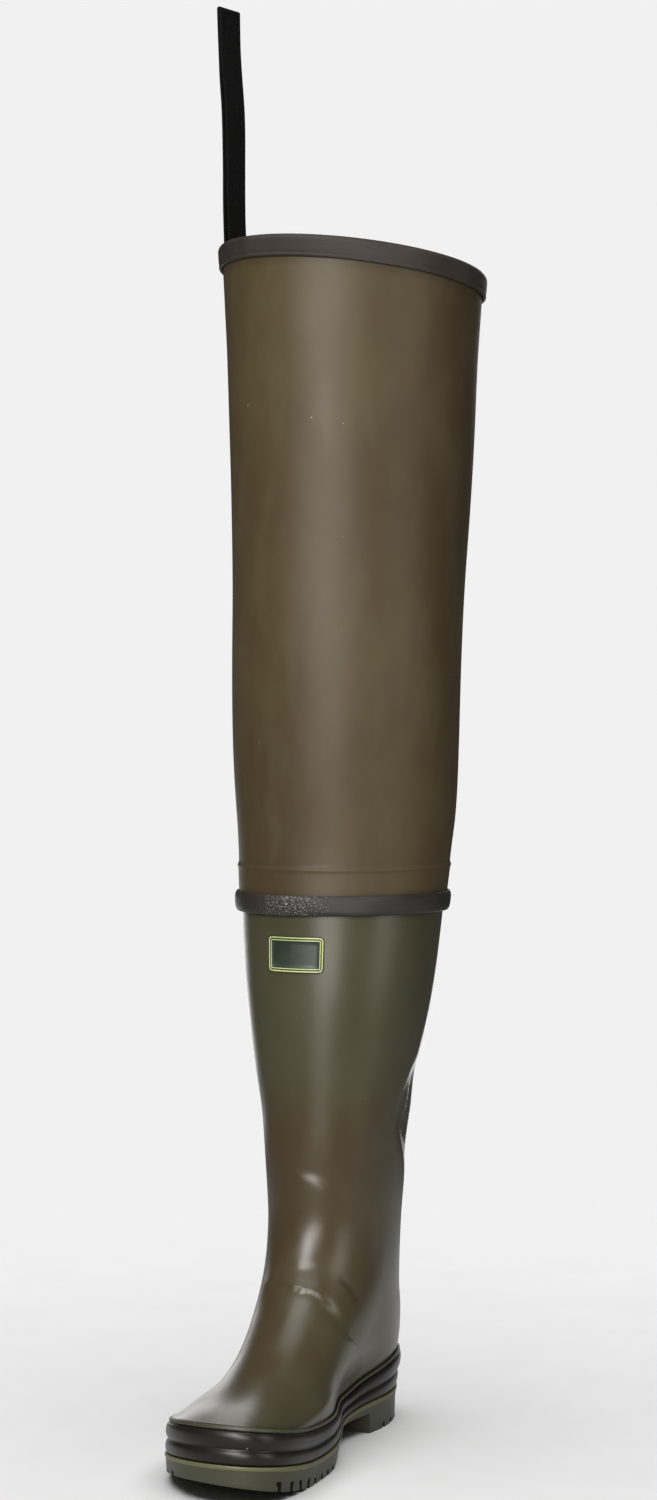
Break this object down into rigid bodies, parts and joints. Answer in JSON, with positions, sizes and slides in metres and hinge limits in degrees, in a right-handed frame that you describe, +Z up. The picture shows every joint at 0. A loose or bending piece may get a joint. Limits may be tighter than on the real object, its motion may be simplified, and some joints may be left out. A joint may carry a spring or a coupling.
{
  "type": "hip wader",
  "caption": "Thigh-high waterproof rubber boot for the right foot, with a cleated sole, a knee band, a bound rim and a webbing belt loop.",
  "frame": {"origin": "on the floor under the middle of the heel's tread", "axes": "+Z up along the leg, toe towards -Y, inner side of the leg towards +X"},
  "size_m": [0.2021, 0.3604, 1.011],
  "materials": {
    "upper_rubber": "satin olive brown",
    "shaft_rubber": "satin olive brown",
    "sole_rubber": "matte dark olive",
    "dark_rubber": "satin dark brown",
    "binding_tape": "fine knurl, dark brown",
    "insole_felt": "felt",
    "label_green": "printed plate",
    "webbing": "woven webbing",
    "ring_plastic": "moulded"
  },
  "bodies": {
    "root": {"outsole": "sole_rubber", "boot_upper": "upper_rubber", "thigh_shaft": "shaft_rubber", "foxing_band": "dark_rubber", "toe_rand": "sole_rubber", "insole": "insole_felt", "knee_band": "dark_rubber", "rim_binding": "binding_tape", "label": "label_green", "strap_patch": "shaft_rubber", "strap_tab": "webbing", "strap_ring": "ring_plastic", "belt_loop": "webbing"}
  },
  "joints": []
}
